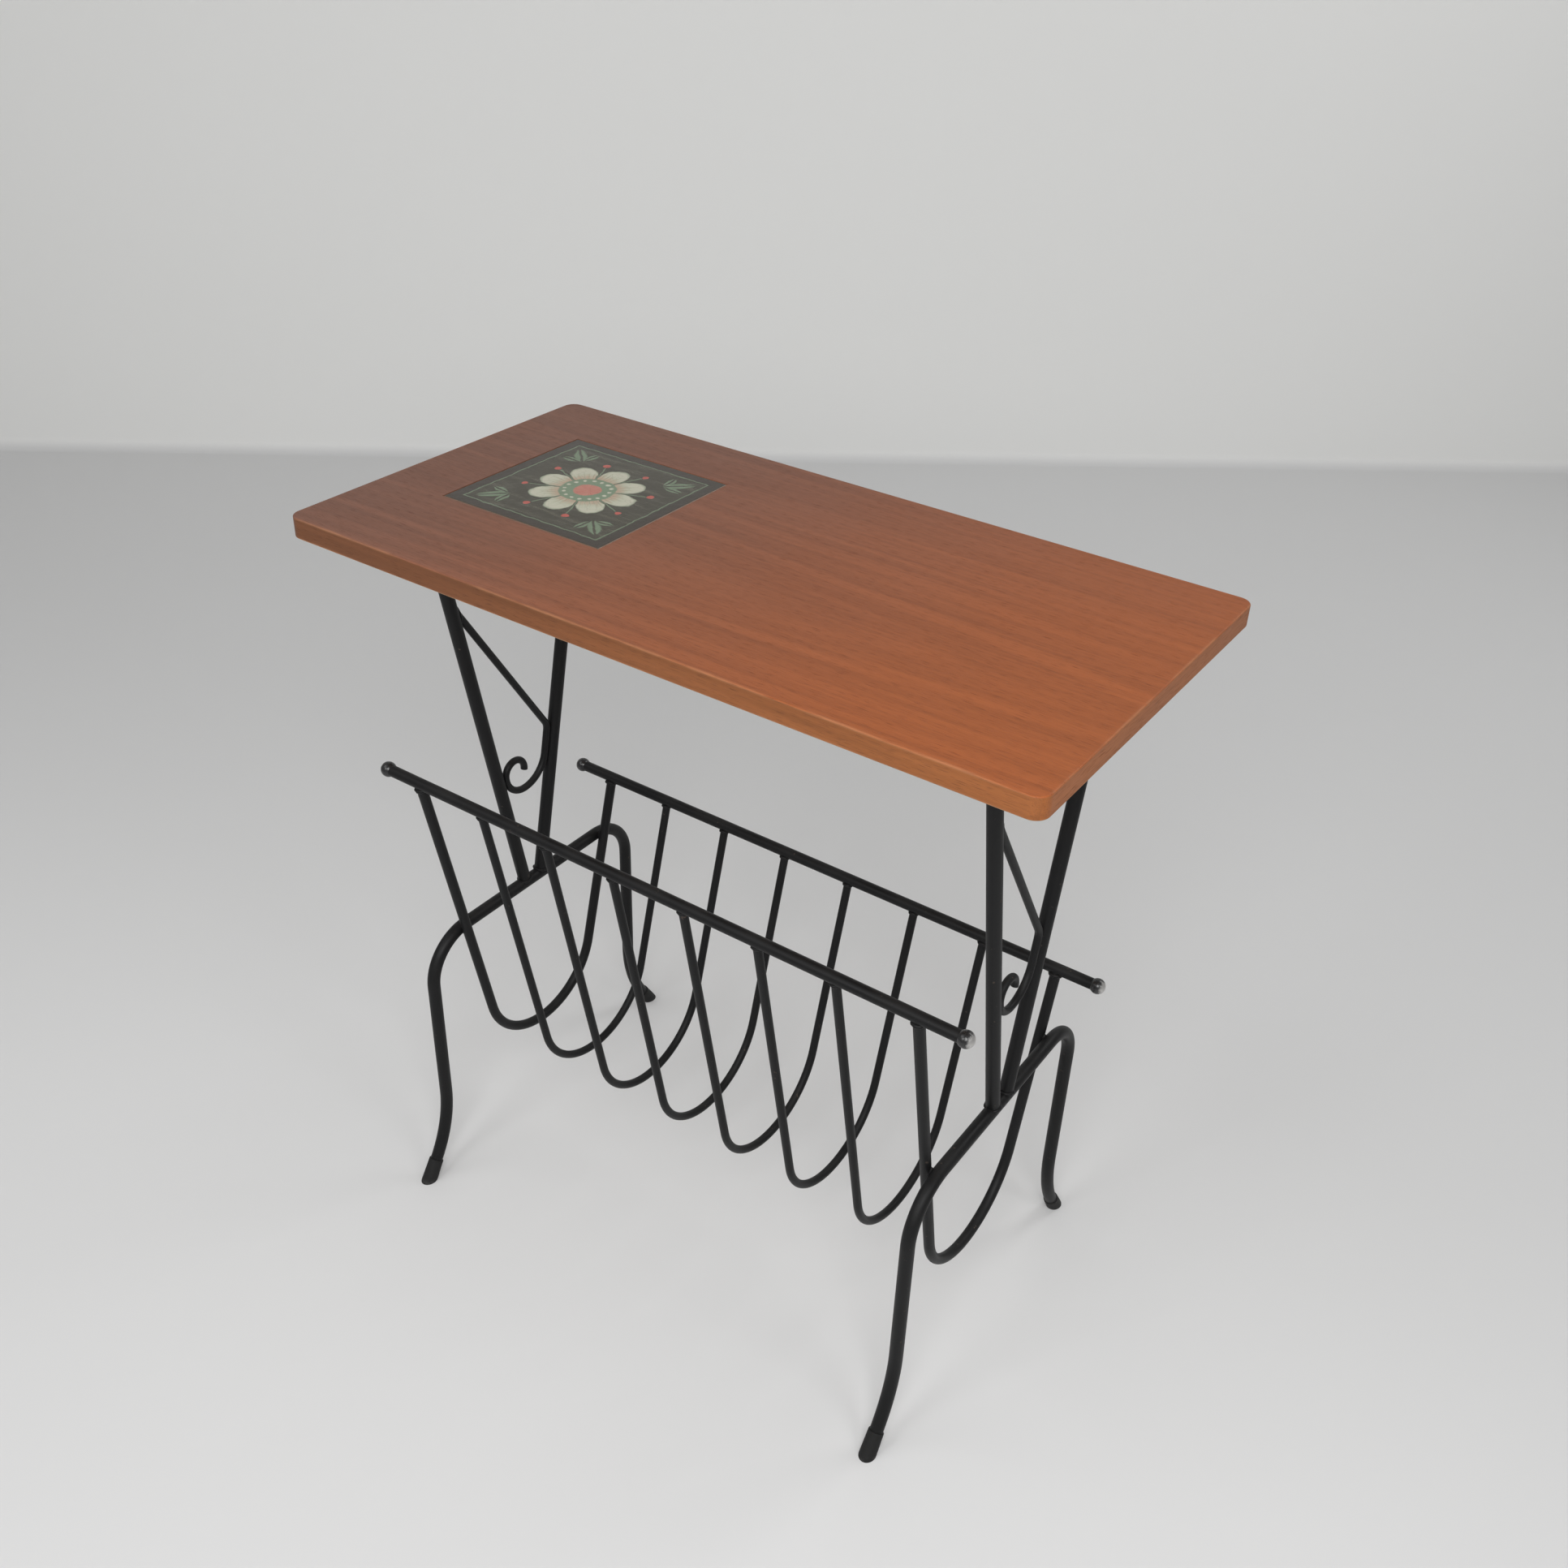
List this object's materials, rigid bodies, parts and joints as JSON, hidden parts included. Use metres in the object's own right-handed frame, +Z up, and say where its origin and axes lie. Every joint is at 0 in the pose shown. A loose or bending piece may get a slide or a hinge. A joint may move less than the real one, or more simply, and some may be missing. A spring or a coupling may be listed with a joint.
{
  "type": "magazine table with rack",
  "caption": "Small side table: teak-veneered top with an inlaid glazed tile, on a black bent-iron frame with curled V-posts and a hanging wire magazine rack.",
  "frame": {"origin": "on the floor, under the middle of the table top", "axes": "+X along the top, from the end with the tile to the plain end; +Y from the front, which has the higher rack rail, to the back; +Z up"},
  "size_m": [0.6, 0.3268, 0.622],
  "materials": {
    "teak_veneer": "satin oiled teak veneer",
    "teak_lipping": "satin oiled solid teak",
    "balancing_veneer": "unfinished balancing veneer",
    "blockboard": "raw board, hidden",
    "glazed_tile": "gloss glaze with a painted pattern",
    "black_iron": "satin black lacquer",
    "worn_knob": "black lacquer, worn to bare metal at the outer ends",
    "black_rubber": "matt",
    "zinc_screw": "zinc plated"
  },
  "bodies": {
    "root": {"top_veneer": "teak_veneer", "bottom_veneer": "balancing_veneer", "core_board": "blockboard", "decor_tile": "glazed_tile", "mounting_screws": "zinc_screw", "edge_lipping_front": "teak_lipping", "edge_lipping_back": "teak_lipping", "edge_lipping_left": "teak_lipping", "edge_lipping_right": "teak_lipping", "leg_arch_left": "black_iron", "mounting_strip_left": "black_iron", "scroll_left": "black_iron", "post_left_front": "black_iron", "foot_cap_left_front": "black_rubber", "rail_knob_front_left": "worn_knob", "post_left_back": "black_iron", "foot_cap_left_back": "black_rubber", "rail_knob_back_left": "worn_knob", "leg_arch_right": "black_iron", "mounting_strip_right": "black_iron", "scroll_right": "black_iron", "post_right_front": "black_iron", "foot_cap_right_front": "black_rubber", "rail_knob_front_right": "worn_knob", "post_right_back": "black_iron", "foot_cap_right_back": "black_rubber", "rail_knob_back_right": "worn_knob", "rack_rail_front": "black_iron", "rack_rail_back": "black_iron", "rack_hoop_1": "black_iron", "rack_hoop_2": "black_iron", "rack_hoop_3": "black_iron", "rack_hoop_4": "black_iron", "rack_hoop_5": "black_iron", "rack_hoop_6": "black_iron", "rack_hoop_7": "black_iron", "rack_hoop_8": "black_iron"}
  },
  "joints": []
}
